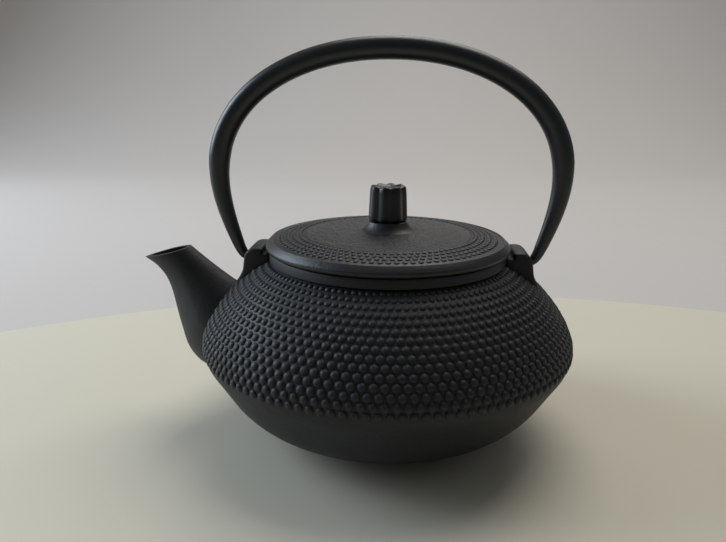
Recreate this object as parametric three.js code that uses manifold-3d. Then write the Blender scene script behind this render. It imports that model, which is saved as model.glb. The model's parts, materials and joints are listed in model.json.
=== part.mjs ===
// Cast iron teapot: a dotted squat pot with a spout and two lugs, a swinging bail, a loose lid
// with a fluted knob, and a lift-out strainer. Millimetres, +Z up. The origin is the centre of
// the foot, on the table. The spout points along -X and the bail stands in the XZ plane.

import * as THREE from "three";
import { mergeVertices } from "three/addons/utils/BufferGeometryUtils.js";
import Module from "manifold-3d";

// ---- Driving dimensions ----

const SEAT_GAP = 0.3; // between two pieces that rest on each other
const BODY_SIDES = 48; // facets round the pot

// Pot casting
const BODY_RADIUS = 70;
const EQUATOR_HEIGHT = 36;
const COLLAR_TOP = 70.6;
const COLLAR_HEIGHT = 3.9;
const COLLAR_WALL = 3.6;
const COLLAR_STEP = 0.9; // the collar stands this far proud of the shoulder
const WALL = 3.2;
const FOOT_RADIUS = 34;
const FOOT_HEIGHT = 3.6;
const BOWL_BASE_RADIUS = 41;
const BOWL_BASE_HEIGHT = 4.6;

// Mouth of the pot: a ledge for the strainer inside the collar
const THROAT_RADIUS = 36.5;
const LEDGE_WIDTH = 4.5;
const LEDGE_DEPTH = 4.8; // below the collar's top
const LEDGE_THICKNESS = 2.9;

// Spout
const SPOUT_REACH = 24.6; // tip beyond the equator
const SPOUT_TIP_DROP = 5.8; // tip below the collar's top
const SPOUT_BACK_DROP = 1.2; // back of the mouth below the collar's top
const SPOUT_MOUTH_LENGTH = 19;
const SPOUT_MOUTH_WIDTH = 12;
const SPOUT_ROOT_WIDTH = 30;
const SPOUT_HEEL_DROP = 16; // underside below the equator
const SPOUT_WALL = 2.2;
const SPOUT_KEEL = 0.2; // how much narrower the front of a section is than its back

// Lugs
const LUG_WIDTH = 17;
const LUG_TOP_LENGTH = 5.4;
const LUG_FLARE = 4; // outwards from the top's edge down to the shoulder
const PIVOT_DROP = 4.3; // peg holes below the collar's top
const PEG_RADIUS = 1.7;
const PEG_CLEARANCE = 0.35;
const PEG_LENGTH = 5.7; // inside the lug

// Bail
const BAIL_RISE = 76.4; // centreline above the pegs
const BAIL_SPREAD = 6.6; // widest half-width beyond the leg's foot
const BAIL_LEG_GAP = 3.4; // from the lug's face out to the leg's centreline
const BAIL_THICKNESS = 8.1;
const BAIL_DEPTH = 7.4;
const BAIL_TAPER_HEIGHT = 38.7;
const BAIL_SQUARENESS = 2.1; // exponent of the arch's superellipse

// Lid
const LID_OVERHANG = 1.2; // beyond the collar
const LID_EDGE_HEIGHT = 3.7;
const LID_CREASE_INSET = 2;
const LID_CROWN = 2.8; // the top's rise from its crease to the knob's seat
const LID_THICKNESS = 3.2;
const LID_LUG_GAP = 0.8;
const SKIRT_DEPTH = 3.7;
const SKIRT_WALL = 3;
const SKIRT_CLEARANCE = 0.6;
const KNOB_SEAT_RADIUS = 7.3;
const KNOB_SEAT_HEIGHT = 3.3;
const KNOB_SEAT_FLARE = 2.9;

// Knob
const KNOB_RADIUS = 7.1;
const KNOB_TAPER = 0.6;
const KNOB_HEIGHT = 13.3;
const FLUTES = 8;
const FLUTE_DEPTH = 0.4;
const TANG_RADIUS = 2.2;
const TANG_CLEARANCE = 0.4;
const CLINCH_RADIUS = 4;
const CLINCH_HEIGHT = 1.8;
const WASHER_RADIUS = 5.6;
const WASHER_THICKNESS = 1;

// Strainer
const STRAINER_CLEARANCE = 1; // to the throat
const STRAINER_DEPTH = 31;
const STRAINER_SHEET = 0.6;
const STRAINER_MESH = 0.5;
const FLANGE_THICKNESS = 0.8;
const RIM_COLLAR_DEPTH = 4.5;
const BASE_RING_HEIGHT = 4.5;
const BASE_RING_LIP = 2;

// ---- Sizes that follow from them ----

const RECESS_RADIUS = THROAT_RADIUS + LEDGE_WIDTH;
const COLLAR_RADIUS = RECESS_RADIUS + COLLAR_WALL;
const LID_RADIUS = COLLAR_RADIUS + LID_OVERHANG;
const LUG_INNER = LID_RADIUS + LID_LUG_GAP;
const LUG_TOP_EDGE = LUG_INNER + LUG_TOP_LENGTH;
const PIVOT_HEIGHT = COLLAR_TOP - PIVOT_DROP;
const LUG_FACE = LUG_TOP_EDGE + 1.8; // at the height of the pegs
const LEG_FOOT = LUG_FACE + BAIL_LEG_GAP;
const BAIL_HALF_WIDTH = LEG_FOOT + BAIL_SPREAD;
const CUP_RADIUS = THROAT_RADIUS - STRAINER_CLEARANCE;
const LEDGE_TOP = COLLAR_TOP - LEDGE_DEPTH;
const FLOOR_TOP = BOWL_BASE_HEIGHT + WALL - 0.4;

// ---- Solids ----

const wasm = await Module();
wasm.setup();

const v2 = (x, y) => new THREE.Vector2(x, y);
const v3 = (x, y, z) => new THREE.Vector3(x, y, z);

// A closed geometry as a solid that can be joined and cut.
function solid(geometry) {
  const bare = new THREE.BufferGeometry();
  bare.setAttribute("position", geometry.getAttribute("position"));
  bare.setIndex(geometry.getIndex());
  const merged = mergeVertices(bare, 1e-4);
  return new wasm.Manifold(
    new wasm.Mesh({
      numProp: 3,
      vertProperties: new Float32Array(merged.attributes.position.array),
      triVerts: new Uint32Array(merged.index.array),
    }),
  );
}

// The solid's triangles as a geometry again.
function geometryOf(manifold) {
  const mesh = manifold.getMesh();
  const geometry = new THREE.BufferGeometry();
  geometry.setAttribute("position", new THREE.BufferAttribute(mesh.vertProperties, 3));
  geometry.setIndex(new THREE.BufferAttribute(mesh.triVerts, 1));
  geometry.computeVertexNormals();
  return geometry;
}

// A profile of (radius, height) points turned about +Z.
function revolve(profile, segments) {
  const geometry = new THREE.LatheGeometry(profile, segments);
  geometry.rotateX(Math.PI / 2);
  return geometry;
}

// A ring with the four-sided section between two radii and two heights.
function tube(outer, inner, bottom, top, segments) {
  const corners = [v2(inner, bottom), v2(outer, bottom), v2(outer, top), v2(inner, top)];
  return revolve([...corners, corners[0]], segments);
}

// A closed skin over rings of points that all have the same count, with a flat cap at each end.
// The rings run along the piece, and each turns right-handed about the way they run.
function loft(rings) {
  const count = rings[0].length;
  const positions = rings.flat().flatMap((p) => [p.x, p.y, p.z]);
  const faces = [];
  for (let ring = 0; ring + 1 < rings.length; ring++) {
    for (let i = 0; i < count; i++) {
      const a = ring * count + i;
      const b = ring * count + ((i + 1) % count);
      faces.push(a, b, b + count, a, b + count, a + count);
    }
  }
  const last = (rings.length - 1) * count;
  for (let i = 1; i + 1 < count; i++) {
    faces.push(0, i + 1, i, last, last + i, last + i + 1);
  }
  const geometry = new THREE.BufferGeometry();
  geometry.setAttribute("position", new THREE.Float32BufferAttribute(positions, 3));
  geometry.setIndex(faces);
  return geometry;
}

// A profile moved sideways by a wall's thickness, towards the left of the way it runs.
function inset(points, distance) {
  return points.map((point, i) => {
    const before = points[Math.max(i - 1, 0)];
    const after = points[Math.min(i + 1, points.length - 1)];
    const along = after.clone().sub(before).normalize();
    return v2(point.x - along.y * distance, point.y + along.x * distance);
  });
}

// ---- Pot casting ----

// The bowl, from the edge of the flat bottom out and up to just under the equator.
function bowlOutline() {
  const waist = v2(BODY_RADIUS - 7.8, EQUATOR_HEIGHT - 16.1);
  const turn = v2(BODY_RADIUS - 2.7, EQUATOR_HEIGHT - 7.7);
  const slope = turn.clone().sub(waist).normalize();
  const base = v2(BOWL_BASE_RADIUS, BOWL_BASE_HEIGHT);
  const baseHandle = v2(base.x + 9.7, base.y + 2.2);
  const waistHandle = waist.clone().addScaledVector(slope, -8);
  const bowl = new THREE.CubicBezierCurve(base, baseHandle, waistHandle, waist);
  const turnHandle = turn.clone().addScaledVector(slope, 3);
  const equatorHandle = v2(BODY_RADIUS, EQUATOR_HEIGHT - 4.2);
  const equator = v2(BODY_RADIUS, EQUATOR_HEIGHT);
  const rounding = new THREE.CubicBezierCurve(turn, turnHandle, equatorHandle, equator);
  return [...bowl.getPoints(8), ...rounding.getPoints(4)];
}

// The shoulder, from the equator up and in to the foot of the collar.
function shoulderOutline() {
  const equator = v2(BODY_RADIUS, EQUATOR_HEIGHT);
  const top = v2(COLLAR_RADIUS - COLLAR_STEP, COLLAR_TOP - COLLAR_HEIGHT);
  const equatorHandle = v2(BODY_RADIUS, EQUATOR_HEIGHT + 9);
  const topHandle = v2(top.x + 11.9, top.y - 5.3);
  const shoulder = new THREE.CubicBezierCurve(equator, equatorHandle, topHandle, top);
  return shoulder.getPoints(10).slice(1);
}

const bodyOutline = [...bowlOutline(), ...shoulderOutline()];

// The height of the shoulder at a radius.
function shoulderHeight(radius) {
  const outline = shoulderOutline();
  const i = outline.findIndex((point) => point.x < radius);
  const [low, high] = [outline[i - 1], outline[i]];
  return THREE.MathUtils.mapLinear(radius, low.x, high.x, low.y, high.y);
}

function bodyBlank() {
  const profile = [
    v2(0, 0),
    v2(FOOT_RADIUS - 0.6, 0),
    v2(FOOT_RADIUS, 0.6),
    v2(FOOT_RADIUS + 0.5, FOOT_HEIGHT),
    ...bodyOutline,
    v2(COLLAR_RADIUS, COLLAR_TOP - COLLAR_HEIGHT + 0.5),
    v2(COLLAR_RADIUS, COLLAR_TOP - 0.4),
    v2(COLLAR_RADIUS - 0.4, COLLAR_TOP),
    v2(0, COLLAR_TOP),
  ];
  return solid(revolve(profile, BODY_SIDES));
}

function bodyCavity() {
  const ledgeUnder = LEDGE_TOP - LEDGE_THICKNESS;
  const inner = inset(bodyOutline, WALL).filter((p) => p.y < ledgeUnder - 0.5);
  const profile = [
    v2(0, FLOOR_TOP),
    ...inner,
    v2(THROAT_RADIUS, ledgeUnder),
    v2(THROAT_RADIUS, LEDGE_TOP),
    v2(RECESS_RADIUS, LEDGE_TOP),
    v2(RECESS_RADIUS, COLLAR_TOP + 1),
    v2(0, COLLAR_TOP + 1),
  ];
  return solid(revolve(profile, BODY_SIDES));
}

// The spout's underside and its top edge, as (distance from the axis, height).
const tip = v2(BODY_RADIUS + SPOUT_REACH, COLLAR_TOP - SPOUT_TIP_DROP);
const mouthFall = SPOUT_TIP_DROP - SPOUT_BACK_DROP;
const mouthBack = v2(
  tip.x - Math.sqrt(SPOUT_MOUTH_LENGTH ** 2 - mouthFall ** 2),
  COLLAR_TOP - SPOUT_BACK_DROP,
);
const heel = EQUATOR_HEIGHT - SPOUT_HEEL_DROP;
const spoutUnderside = new THREE.SplineCurve([
  v2(BODY_RADIUS - 14, heel - 2),
  v2(BODY_RADIUS + 1, heel),
  v2(BODY_RADIUS + 8.5, heel + 6.8),
  v2(BODY_RADIUS + 11.8, heel + 17.5),
  v2(BODY_RADIUS + 15.3, COLLAR_TOP - 16.9),
  v2(BODY_RADIUS + 19.3, COLLAR_TOP - 9.9),
  tip,
]);
const spoutBack = new THREE.SplineCurve([
  v2(mouthBack.x - 26.2, mouthBack.y - 19.4),
  v2(mouthBack.x - 16.7, mouthBack.y - 13.6),
  v2(mouthBack.x - 7, mouthBack.y - 6),
  mouthBack,
]);
const mouthNormal = v2(tip.y - mouthBack.y, mouthBack.x - tip.x).normalize().negate();

// One oval section of the spout between its underside and its back edge.
function spoutSection(front, back, halfWidth) {
  const middle = front.clone().add(back).multiplyScalar(0.5);
  const reach = back.clone().sub(middle);
  const points = [];
  const sides = 24;
  for (let i = 0; i < sides; i++) {
    const turn = (i / sides) * 2 * Math.PI;
    const place = middle.clone().addScaledVector(reach, Math.cos(turn));
    const side = halfWidth * Math.sin(turn) * (1 + SPOUT_KEEL * Math.cos(turn));
    points.push(v3(-place.x, side, place.y));
  }
  return points;
}

// The whole spout as a solid, shrunk by a wall and run out past the mouth for its passage.
function spoutSolid(wall, overrun) {
  const rings = [];
  const steps = 12;
  for (let i = 0; i <= steps; i++) {
    const front = spoutUnderside.getPointAt(i / steps);
    const back = spoutBack.getPointAt(i / steps);
    const across = back.clone().sub(front).normalize();
    front.addScaledVector(across, wall);
    back.addScaledVector(across, -wall);
    const width = THREE.MathUtils.lerp(
      SPOUT_ROOT_WIDTH,
      SPOUT_MOUTH_WIDTH,
      THREE.MathUtils.smoothstep(i / steps, 0.1, 0.95),
    );
    rings.push(spoutSection(front, back, width / 2 - wall));
  }
  if (overrun > 0) {
    const past = v3(-mouthNormal.x, 0, mouthNormal.y).multiplyScalar(overrun);
    rings.push(rings.at(-1).map((p) => p.clone().add(past)));
  }
  return solid(loft(rings));
}

// A lug: its side outline, bevelled, standing on the shoulder in line with the spout.
function lugSolid() {
  const bevel = 1;
  const flare = LUG_TOP_EDGE + LUG_FLARE;
  const top = COLLAR_TOP + 0.4;
  const shape = new THREE.Shape();
  shape.moveTo(COLLAR_RADIUS - 1, COLLAR_TOP - 12);
  shape.lineTo(flare, shoulderHeight(flare) - 2);
  shape.lineTo(flare, shoulderHeight(flare) + 1);
  shape.lineTo(LUG_FACE + 0.5, PIVOT_HEIGHT - 4);
  shape.lineTo(LUG_FACE, PIVOT_HEIGHT);
  shape.quadraticCurveTo(LUG_TOP_EDGE + 0.9, top, LUG_TOP_EDGE - 1.6, top);
  shape.lineTo(LUG_INNER, top);
  shape.lineTo(LUG_INNER, COLLAR_TOP - 0.4);
  shape.lineTo(COLLAR_RADIUS - 1, COLLAR_TOP - 0.4);
  shape.closePath();
  const geometry = new THREE.ExtrudeGeometry(shape, {
    depth: LUG_WIDTH - 2 * bevel,
    curveSegments: 4,
    bevelSize: bevel,
    bevelOffset: -bevel,
    bevelThickness: bevel,
    bevelSegments: 2,
  });
  geometry.rotateX(Math.PI / 2);
  geometry.translate(0, LUG_WIDTH / 2 - bevel, 0);
  return geometry;
}

// A peg hole, from the lug's face in to just past the peg's end.
function pegHole() {
  const start = LUG_FACE - PEG_LENGTH - PEG_CLEARANCE;
  const length = LUG_FACE + LUG_FLARE - start;
  const radius = PEG_RADIUS + PEG_CLEARANCE;
  const hole = new THREE.CylinderGeometry(radius, radius, length, 20);
  hole.rotateZ(Math.PI / 2);
  hole.translate(start + length / 2, 0, PIVOT_HEIGHT);
  return hole;
}

// The bowl, foot, collar and lugs before anything is cut out of them.
function castingBlank() {
  let blank = bodyBlank();
  for (const side of [0, Math.PI]) {
    blank = blank.add(solid(lugSolid().rotateZ(side)));
  }
  return blank;
}

// The bowl with its foot, collar and lugs. The spout is the same casting, and starts at its skin.
function potBody() {
  let body = castingBlank().subtract(bodyCavity()).subtract(spoutSolid(SPOUT_WALL, 3));
  for (const side of [0, Math.PI]) {
    body = body.subtract(solid(pegHole().rotateZ(side)));
  }
  return geometryOf(body);
}

// The spout from the skin of the bowl and lug outwards, a hair clear of them.
function spout() {
  const blank = castingBlank().scale([1.0005, 1.0005, 1.0005]);
  return geometryOf(spoutSolid(0, 0).subtract(spoutSolid(SPOUT_WALL, 3)).subtract(blank));
}

// ---- Bail ----

// The centreline from the top of the arch to the end of one peg, as (half-width, height above the pegs).
function bailLine() {
  const springing = BAIL_TAPER_HEIGHT - 7;
  const points = [];
  const steps = 12;
  for (let i = 0; i <= steps; i++) {
    const turn = (i / steps) * (Math.PI / 2);
    const across = Math.sin(turn) ** (2 / BAIL_SQUARENESS);
    const up = Math.cos(turn) ** (2 / BAIL_SQUARENESS);
    points.push(v2(BAIL_HALF_WIDTH * across, springing + (BAIL_RISE - springing) * up));
  }
  const foot = v2(LEG_FOOT, 4.3);
  const leg = new THREE.CubicBezierCurve(
    points.at(-1),
    v2(BAIL_HALF_WIDTH, springing - 8),
    v2(LEG_FOOT + 4.2, foot.y + 11.3),
    foot,
  );
  const bend = new THREE.QuadraticBezierCurve(foot, v2(LEG_FOOT - 1.6, 0), v2(LUG_FACE + 0.2, 0));
  points.push(...leg.getPoints(8).slice(1));
  points.push(...bend.getPoints(4).slice(1));
  points.push(v2(LUG_FACE - PEG_LENGTH, 0));
  return points;
}

function bail() {
  const half = bailLine();
  const left = half.slice(1).map((p) => v2(-p.x, p.y)).reverse();
  const line = [...left, ...half];
  const sides = 12;
  const rings = line.map((place, i) => {
    const before = line[Math.max(i - 1, 0)];
    const after = line[Math.min(i + 1, line.length - 1)];
    const along = after.clone().sub(before).normalize();
    const fullness = Math.min(Math.max(place.y, 0) / BAIL_TAPER_HEIGHT, 1) ** 0.7;
    const radial = THREE.MathUtils.lerp(PEG_RADIUS, BAIL_THICKNESS / 2, fullness);
    const depth = THREE.MathUtils.lerp(PEG_RADIUS, BAIL_DEPTH / 2, fullness);
    const ring = [];
    for (let s = 0; s < sides; s++) {
      const turn = (s / sides) * 2 * Math.PI;
      const out = radial * Math.cos(turn);
      ring.push(v3(place.x - along.y * out, -depth * Math.sin(turn), place.y + along.x * out));
    }
    return ring;
  });
  return loft(rings);
}

// ---- Lid, in its own frame: its seat on the collar is z = 0 ----

const lidTop = LID_EDGE_HEIGHT + LID_CROWN;
const knobSeat = lidTop + KNOB_SEAT_HEIGHT;
const lidUnder = lidTop - LID_THICKNESS;
const tangBore = TANG_RADIUS + TANG_CLEARANCE;

function lid() {
  const skirtOuter = RECESS_RADIUS - SKIRT_CLEARANCE;
  const skirtInner = skirtOuter - SKIRT_WALL;
  const crease = LID_RADIUS - LID_CREASE_INSET;
  const flare = KNOB_SEAT_RADIUS + KNOB_SEAT_FLARE;
  const dome = new THREE.QuadraticBezierCurve(
    v2(crease, LID_EDGE_HEIGHT),
    v2(crease * 0.65, lidTop),
    v2(flare, lidTop),
  );
  const cone = new THREE.QuadraticBezierCurve(
    v2(flare, lidTop),
    v2(KNOB_SEAT_RADIUS + 0.9, lidTop + 1),
    v2(KNOB_SEAT_RADIUS, knobSeat),
  );
  const profile = [
    v2(tangBore, lidUnder),
    v2(skirtInner - 3, LID_EDGE_HEIGHT - LID_THICKNESS + 1.6),
    v2(skirtInner, LID_EDGE_HEIGHT - LID_THICKNESS),
    v2(skirtInner, -SKIRT_DEPTH),
    v2(skirtOuter - 0.6, -SKIRT_DEPTH),
    v2(skirtOuter, -SKIRT_DEPTH + 0.6),
    v2(skirtOuter, 0),
    v2(LID_RADIUS - 0.6, 0),
    v2(LID_RADIUS, 1),
    v2(LID_RADIUS - 0.1, 1.7),
    ...dome.getPoints(5),
    ...cone.getPoints(3).slice(1),
    v2(tangBore, knobSeat),
    v2(tangBore, lidUnder),
  ];
  return revolve(profile, 48);
}

// ---- Knob, in its own frame: its foot is z = 0, and the tang hangs below ----

const washerTop = lidUnder - SEAT_GAP - (knobSeat + SEAT_GAP);
const clinchTop = washerTop - WASHER_THICKNESS - SEAT_GAP;

function knob() {
  const points = 6 * FLUTES;
  const ring = (radius, height, fluting, petals) => {
    const places = [];
    for (let i = 0; i < points; i++) {
      const turn = (i / points) * 2 * Math.PI;
      const wave = Math.cos(FLUTES * turn);
      const r = radius + fluting * FLUTE_DEPTH * wave;
      places.push(v3(r * Math.cos(turn), r * Math.sin(turn), height + petals * wave));
    }
    return places;
  };
  const top = KNOB_RADIUS - KNOB_TAPER;
  const grip = loft([
    ring(KNOB_RADIUS - 0.9, 0, 0.3, 0),
    ring(KNOB_RADIUS - 0.4, 0.4, 0.7, 0),
    ring(top - 0.4, KNOB_HEIGHT - 1, 1, 0.1),
    ring(top - 0.9, KNOB_HEIGHT - 0.4, 1, 0.3),
    ring(top - 2, KNOB_HEIGHT - 0.3, 1, 0.3),
    ring(top - 3.4, KNOB_HEIGHT - 1, 0.5, 0.1),
  ]);
  const tang = revolve(
    [
      v2(0, clinchTop - CLINCH_HEIGHT),
      v2(CLINCH_RADIUS - 1.6, clinchTop - CLINCH_HEIGHT),
      v2(CLINCH_RADIUS, clinchTop - 0.6),
      v2(CLINCH_RADIUS, clinchTop),
      v2(TANG_RADIUS, clinchTop),
      v2(TANG_RADIUS, 1),
      v2(0, 1),
    ],
    20,
  );
  return geometryOf(solid(grip).add(solid(tang)));
}

function knobWasher() {
  const bottom = washerTop - WASHER_THICKNESS;
  return tube(WASHER_RADIUS, tangBore, bottom, washerTop, 24);
}

// ---- Strainer, in its own frame: the underside of its flange is z = 0 ----

const rimCollarInner = CUP_RADIUS - STRAINER_SHEET;
const meshRadius = rimCollarInner - SEAT_GAP;
const ringBottom = -STRAINER_DEPTH;
const meshFloorBottom = ringBottom + STRAINER_SHEET + SEAT_GAP;

function strainerRim() {
  const flange = RECESS_RADIUS - SKIRT_CLEARANCE;
  const profile = [
    v2(rimCollarInner, -RIM_COLLAR_DEPTH),
    v2(CUP_RADIUS, -RIM_COLLAR_DEPTH),
    v2(CUP_RADIUS, 0),
    v2(flange, 0),
    v2(flange, FLANGE_THICKNESS),
    v2(rimCollarInner, FLANGE_THICKNESS),
  ];
  return revolve([...profile, profile[0]], 48);
}

function strainerWall() {
  const bottom = meshFloorBottom + STRAINER_MESH + SEAT_GAP;
  return tube(meshRadius, meshRadius - STRAINER_MESH, bottom, -SEAT_GAP, 48);
}

function strainerFloor() {
  const profile = [
    v2(0, meshFloorBottom),
    v2(meshRadius, meshFloorBottom),
    v2(meshRadius, meshFloorBottom + STRAINER_MESH),
    v2(0, meshFloorBottom + STRAINER_MESH),
  ];
  return revolve(profile, 48);
}

function strainerBaseRing() {
  const lip = rimCollarInner - BASE_RING_LIP;
  const profile = [
    v2(lip, ringBottom),
    v2(CUP_RADIUS, ringBottom),
    v2(CUP_RADIUS, ringBottom + BASE_RING_HEIGHT),
    v2(rimCollarInner, ringBottom + BASE_RING_HEIGHT),
    v2(rimCollarInner, ringBottom + STRAINER_SHEET),
    v2(lip, ringBottom + STRAINER_SHEET),
  ];
  return revolve([...profile, profile[0]], 48);
}

// ---- Finishes ----

const potIron = new THREE.MeshStandardMaterial({ color: 0x2a2e2e, roughness: 0.62, metalness: 0.35 });
const lidIron = new THREE.MeshStandardMaterial({ color: 0x363938, roughness: 0.55, metalness: 0.4 });
const bailIron = new THREE.MeshStandardMaterial({ color: 0x1d1f1f, roughness: 0.42, metalness: 0.4 });
const knobIron = new THREE.MeshStandardMaterial({ color: 0x161818, roughness: 0.25, metalness: 0.4 });
const steel = new THREE.MeshStandardMaterial({ color: 0xb9bbbb, roughness: 0.3, metalness: 1 });

// ---- Assembly ----

function piece(name, geometry, material) {
  const mesh = new THREE.Mesh(geometry, material);
  mesh.name = name;
  return mesh;
}

const teapot = new THREE.Group();
teapot.name = "teapot";
teapot.add(piece("pot_body", potBody(), potIron));
teapot.add(piece("spout", spout(), potIron));

const bailPiece = piece("bail", bail(), bailIron);
bailPiece.position.z = PIVOT_HEIGHT;
teapot.add(bailPiece);

const strainerGroup = new THREE.Group();
strainerGroup.position.z = LEDGE_TOP + SEAT_GAP;
strainerGroup.add(
  piece("strainer_rim", strainerRim(), steel),
  piece("strainer_wall", strainerWall(), steel),
  piece("strainer_floor", strainerFloor(), steel),
  piece("strainer_base_ring", strainerBaseRing(), steel),
);
teapot.add(strainerGroup);

const lidGroup = new THREE.Group();
lidGroup.position.z = COLLAR_TOP + SEAT_GAP;
lidGroup.add(piece("lid", lid(), lidIron));
const knobGroup = new THREE.Group();
knobGroup.position.z = knobSeat + SEAT_GAP;
knobGroup.add(piece("knob", knob(), knobIron), piece("knob_washer", knobWasher(), steel));
lidGroup.add(knobGroup);
teapot.add(lidGroup);

export default teapot;
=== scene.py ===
import json
import math

import bpy
from mathutils import Matrix, Vector, noise


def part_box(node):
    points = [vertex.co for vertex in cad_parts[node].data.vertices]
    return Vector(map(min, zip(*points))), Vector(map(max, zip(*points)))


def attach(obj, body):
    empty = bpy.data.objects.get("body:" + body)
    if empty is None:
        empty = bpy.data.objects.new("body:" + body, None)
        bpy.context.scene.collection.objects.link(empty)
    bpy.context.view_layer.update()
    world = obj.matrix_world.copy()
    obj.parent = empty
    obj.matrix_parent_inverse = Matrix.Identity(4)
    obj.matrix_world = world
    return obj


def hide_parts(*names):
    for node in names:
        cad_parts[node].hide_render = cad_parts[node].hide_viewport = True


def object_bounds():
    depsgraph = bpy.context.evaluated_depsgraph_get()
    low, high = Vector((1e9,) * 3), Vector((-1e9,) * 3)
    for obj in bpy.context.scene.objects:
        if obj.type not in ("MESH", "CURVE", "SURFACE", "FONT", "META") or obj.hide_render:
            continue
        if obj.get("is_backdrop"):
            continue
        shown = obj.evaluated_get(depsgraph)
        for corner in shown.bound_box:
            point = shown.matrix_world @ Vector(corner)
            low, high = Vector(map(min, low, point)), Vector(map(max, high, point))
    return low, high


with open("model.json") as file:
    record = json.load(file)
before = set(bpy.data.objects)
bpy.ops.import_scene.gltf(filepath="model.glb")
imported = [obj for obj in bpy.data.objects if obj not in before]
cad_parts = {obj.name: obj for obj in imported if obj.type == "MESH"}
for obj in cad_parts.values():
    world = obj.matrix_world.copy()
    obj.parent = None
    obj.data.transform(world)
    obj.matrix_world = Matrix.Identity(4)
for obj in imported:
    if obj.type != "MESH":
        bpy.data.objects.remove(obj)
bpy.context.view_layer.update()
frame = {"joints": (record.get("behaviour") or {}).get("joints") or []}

# ---- The pot: its two finishes ----
# The casting is grey iron straight from a sand mould, blackened outside with a thin baked coating
# that keeps the sand's grain and is rubbed on the high spots. The inside is glossy black enamel.

MM = 0.001


def node(tree, kind, inputs=None, **settings):
    """A node with its settings, and with a socket or a value for each input."""
    made = tree.nodes.new(kind)
    for key, value in settings.items():
        setattr(made, key, value)
    for key, value in (inputs or {}).items():
        if isinstance(value, bpy.types.NodeSocket):
            tree.links.new(value, made.inputs[key])
        else:
            made.inputs[key].default_value = value
    return made


def maths(tree, operation, first, second=0.0, third=0.0):
    """The result of a Math node on sockets or numbers."""
    made = node(tree, "ShaderNodeMath", {0: first, 1: second, 2: third}, operation=operation)
    return made.outputs[0]


def effect(name, inputs, outputs):
    """An empty node group with number inputs and outputs, and its two end nodes."""
    tree = bpy.data.node_groups.new(name, "ShaderNodeTree")
    for label in inputs:
        tree.interface.new_socket(label, in_out="INPUT", socket_type="NodeSocketFloat")
    for label in outputs:
        tree.interface.new_socket(label, in_out="OUTPUT", socket_type="NodeSocketFloat")
    entry, exit_end = tree.nodes.new("NodeGroupInput"), tree.nodes.new("NodeGroupOutput")
    return tree, entry.outputs, exit_end.inputs


# Sand grain: fine lumps with shallow pits, and slow unevenness over centimetres.
sand_grain, given, result = effect("sand_grain", ["Grain Scale", "Pitting"], ["Height", "Blotch"])
place = node(sand_grain, "ShaderNodeTexCoord").outputs["Object"]
lumps = node(sand_grain, "ShaderNodeTexNoise", {
    "Vector": place, "Scale": given["Grain Scale"], "Detail": 5, "Roughness": 0.6})
pits = node(sand_grain, "ShaderNodeTexVoronoi", {
    "Vector": place, "Scale": given["Grain Scale"], "Smoothness": 0.6}, feature="SMOOTH_F1")
pit_depth = maths(sand_grain, "MULTIPLY", pits.outputs["Distance"], given["Pitting"])
sand_grain.links.new(maths(sand_grain, "ADD", lumps.outputs[0], pit_depth), result["Height"])
patches = node(sand_grain, "ShaderNodeTexNoise", {
    "Vector": place, "Scale": 45, "Detail": 4, "Roughness": 0.65})
spread = node(sand_grain, "ShaderNodeMapRange", {
    "Value": patches.outputs[0], "From Min": 0.35, "From Max": 0.68})
sand_grain.links.new(spread.outputs[0], result["Blotch"])

# Rubbing: where hands and cloths reach, broken up so that it is never an even line.
rubbing, given, result = effect("rubbing", ["Reach", "Amount"], ["Mask"])
place = node(rubbing, "ShaderNodeTexCoord").outputs["Object"]
scuffs = node(rubbing, "ShaderNodeTexNoise", {
    "Vector": place, "Scale": 260, "Detail": 4, "Roughness": 0.7})
broken = node(rubbing, "ShaderNodeMapRange", {
    "Value": scuffs.outputs[0], "From Min": 0.32, "From Max": 0.66})
mask = maths(rubbing, "MULTIPLY", maths(rubbing, "POWER", given["Reach"], 1.6), broken.outputs[0])
rubbing.links.new(maths(rubbing, "MULTIPLY", mask, given["Amount"]), result["Mask"])

# Dust: a thin grey film on what faces up.
dust, given, result = effect("dust", ["Amount"], ["Mask"])
facing = node(dust, "ShaderNodeSeparateXYZ", {
    0: node(dust, "ShaderNodeNewGeometry").outputs["Normal"]})
upward = node(dust, "ShaderNodeMapRange", {
    "Value": facing.outputs["Z"], "From Min": 0.35, "From Max": 1.0})
place = node(dust, "ShaderNodeTexCoord").outputs["Object"]
specks = node(dust, "ShaderNodeTexNoise", {
    "Vector": place, "Scale": 150, "Detail": 7, "Roughness": 0.75})
film = maths(dust, "MULTIPLY", upward.outputs[0], specks.outputs[0])
dust.links.new(maths(dust, "MULTIPLY", film, given["Amount"]), result["Mask"])


def placed(tree, group, inputs):
    """The outputs of an effect's group node, placed in a material."""
    return node(tree, "ShaderNodeGroup", inputs, node_tree=group).outputs


def blended(tree, factor, first, second):
    """Two colours mixed by a mask."""
    mix = node(tree, "ShaderNodeMix", {0: factor, 6: first, 7: second}, data_type="RGBA")
    return mix.outputs[2]


def between_values(tree, factor, low, high):
    """A number that runs from low to high as a mask runs from 0 to 1."""
    return node(tree, "ShaderNodeMapRange", {
        "Value": factor, "To Min": low, "To Max": high}).outputs[0]


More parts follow.
